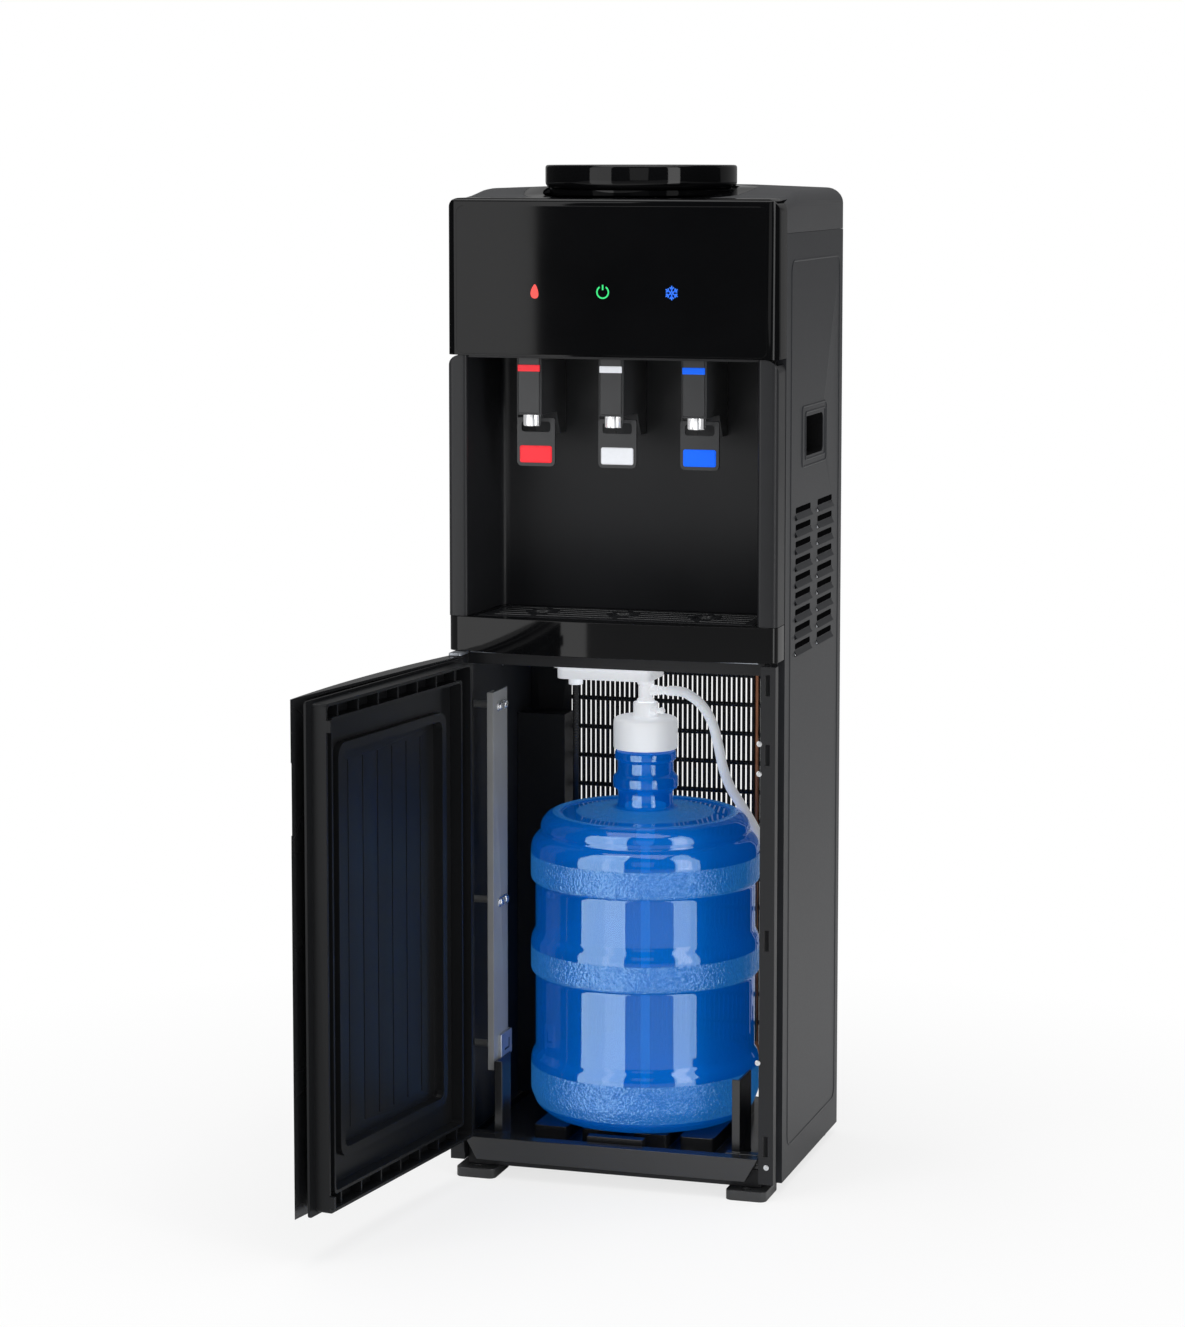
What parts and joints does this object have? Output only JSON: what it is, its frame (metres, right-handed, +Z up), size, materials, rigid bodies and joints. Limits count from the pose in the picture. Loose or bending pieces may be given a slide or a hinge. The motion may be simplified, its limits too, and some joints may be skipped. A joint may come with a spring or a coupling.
{
  "type": "bottom load water cooler",
  "caption": "Free-standing bottom load water cooler: open dispensing niche with paddle taps and drip tray, and a hinged bay door with a blue bottle inside.",
  "frame": {"origin": "middle of the bounding box in plan with the door open, at the floor under the feet", "axes": "+Z up, -Y towards the user at the front, +X to the right as the user sees it"},
  "size_m": [0.4043, 0.6515, 1.084],
  "materials": {
    "satin_black": "satin",
    "gloss_black": "high gloss",
    "grey_steel": "satin paint",
    "chrome": "polished",
    "zinc": "galvanised",
    "copper": "bare tube",
    "stainless": "brushed",
    "white_plastic": "satin",
    "foam": "matt",
    "bottle_blue": "clear blue",
    "black_rubber": "matt",
    "black_enamel": "satin enamel",
    "board": "matt"
  },
  "bodies": {
    "cabinet": {"side_panel_right": "grey_steel", "side_panel_left": "grey_steel", "front_bezel": "gloss_black", "top_cover": "satin_black", "top_collar": "gloss_black", "niche_liner": "satin_black", "tray_fascia": "gloss_black", "tap_housing_hot": "satin_black", "tap_housing_normal": "satin_black", "tap_housing_cold": "satin_black", "tap_nozzle_hot": "chrome", "tap_nozzle_normal": "chrome", "tap_nozzle_cold": "chrome", "bay_frame": "satin_black", "mid_shelf": "zinc", "wall_bracket": "zinc", "base_pan": "zinc", "base_tray": "satin_black", "base_beam": "satin_black", "foot_front_left": "black_rubber", "foot_front_right": "black_rubber", "foot_rear_left": "black_rubber", "foot_rear_right": "black_rubber", "hinge_bracket_top": "zinc", "hinge_bracket_bottom": "zinc", "pump_housing": "white_plastic", "tee_fitting": "white_plastic", "supply_hose": "white_plastic", "transfer_pump": "satin_black", "sensor_conduit": "black_rubber", "rear_panel": "grey_steel", "switch_plate": "satin_black", "drain_cap": "black_rubber", "cord_gland": "black_rubber", "compressor_mount": "black_rubber", "compressor": "black_enamel", "tank_shelf": "zinc", "tank_insulation": "foam", "cold_tank": "stainless", "hot_tank": "stainless", "suction_line": "copper", "condenser": "black_enamel", "discharge_line": "copper", "delivery_tube": "white_plastic", "control_board": "board", "wiring_duct": "satin_black"},
    "door": {"door_skin": "gloss_black", "door_liner": "satin_black"},
    "bottle_assembly": {"bottle": "bottle_blue", "bottle_cap": "white_plastic", "probe_tube": "white_plastic"},
    "lever_hot": {"paddle_hot": "satin_black"},
    "lever_normal": {"paddle_normal": "satin_black"},
    "lever_cold": {"paddle_cold": "satin_black"},
    "pan": {"drip_pan": "satin_black"},
    "grille": {"drip_grille": "satin_black"},
    "lid": {"top_lid": "gloss_black"},
    "switch_cold": {"rocker_cold": "gloss_black"},
    "switch_hot": {"rocker_hot": "gloss_black"}
  },
  "joints": [
    {"name": "door_hinge", "type": "hinge", "parent": "cabinet", "child": "door", "pos_m": [-0.14438, 0.01141, 0.3], "axis": [0, 0, 1], "range_deg": [-12, 98]},
    {"name": "bottle_slide", "type": "slide", "parent": "cabinet", "child": "bottle_assembly", "axis": [0, 1, 0], "range_m": [-0.33, 0]},
    {"name": "hot_lever_pivot", "type": "hinge", "parent": "cabinet", "child": "lever_hot", "pos_m": [-0.07138, 0.06641, 0.833], "axis": [1, 0, 0], "range_deg": [0, 12], "stiffness_Nm_per_rad": 0.25, "springref_deg": -5.73},
    {"name": "normal_lever_pivot", "type": "hinge", "parent": "cabinet", "child": "lever_normal", "pos_m": [0.01862, 0.06641, 0.833], "axis": [1, 0, 0], "range_deg": [0, 12], "stiffness_Nm_per_rad": 0.25, "springref_deg": -5.73},
    {"name": "cold_lever_pivot", "type": "hinge", "parent": "cabinet", "child": "lever_cold", "pos_m": [0.10862, 0.06641, 0.833], "axis": [1, 0, 0], "range_deg": [0, 12], "stiffness_Nm_per_rad": 0.25, "springref_deg": -5.73},
    {"name": "pan_lift", "type": "slide", "parent": "cabinet", "child": "pan", "axis": [0, 0, 1], "range_m": [0, 0.04]},
    {"name": "grille_lift", "type": "slide", "parent": "pan", "child": "grille", "axis": [0, 0, 1], "range_m": [0, 0.05]},
    {"name": "lid_lift", "type": "slide", "parent": "cabinet", "child": "lid", "axis": [0, 0, 1], "range_m": [0, 0.06]},
    {"name": "cold_rocker_pivot", "type": "hinge", "parent": "cabinet", "child": "switch_cold", "pos_m": [0.12762, 0.30661, 0.893], "axis": [1, 0, 0], "range_deg": [-8, 8]},
    {"name": "hot_rocker_pivot", "type": "hinge", "parent": "cabinet", "child": "switch_hot", "pos_m": [0.12762, 0.30661, 0.917], "axis": [1, 0, 0], "range_deg": [-8, 8]}
  ]
}
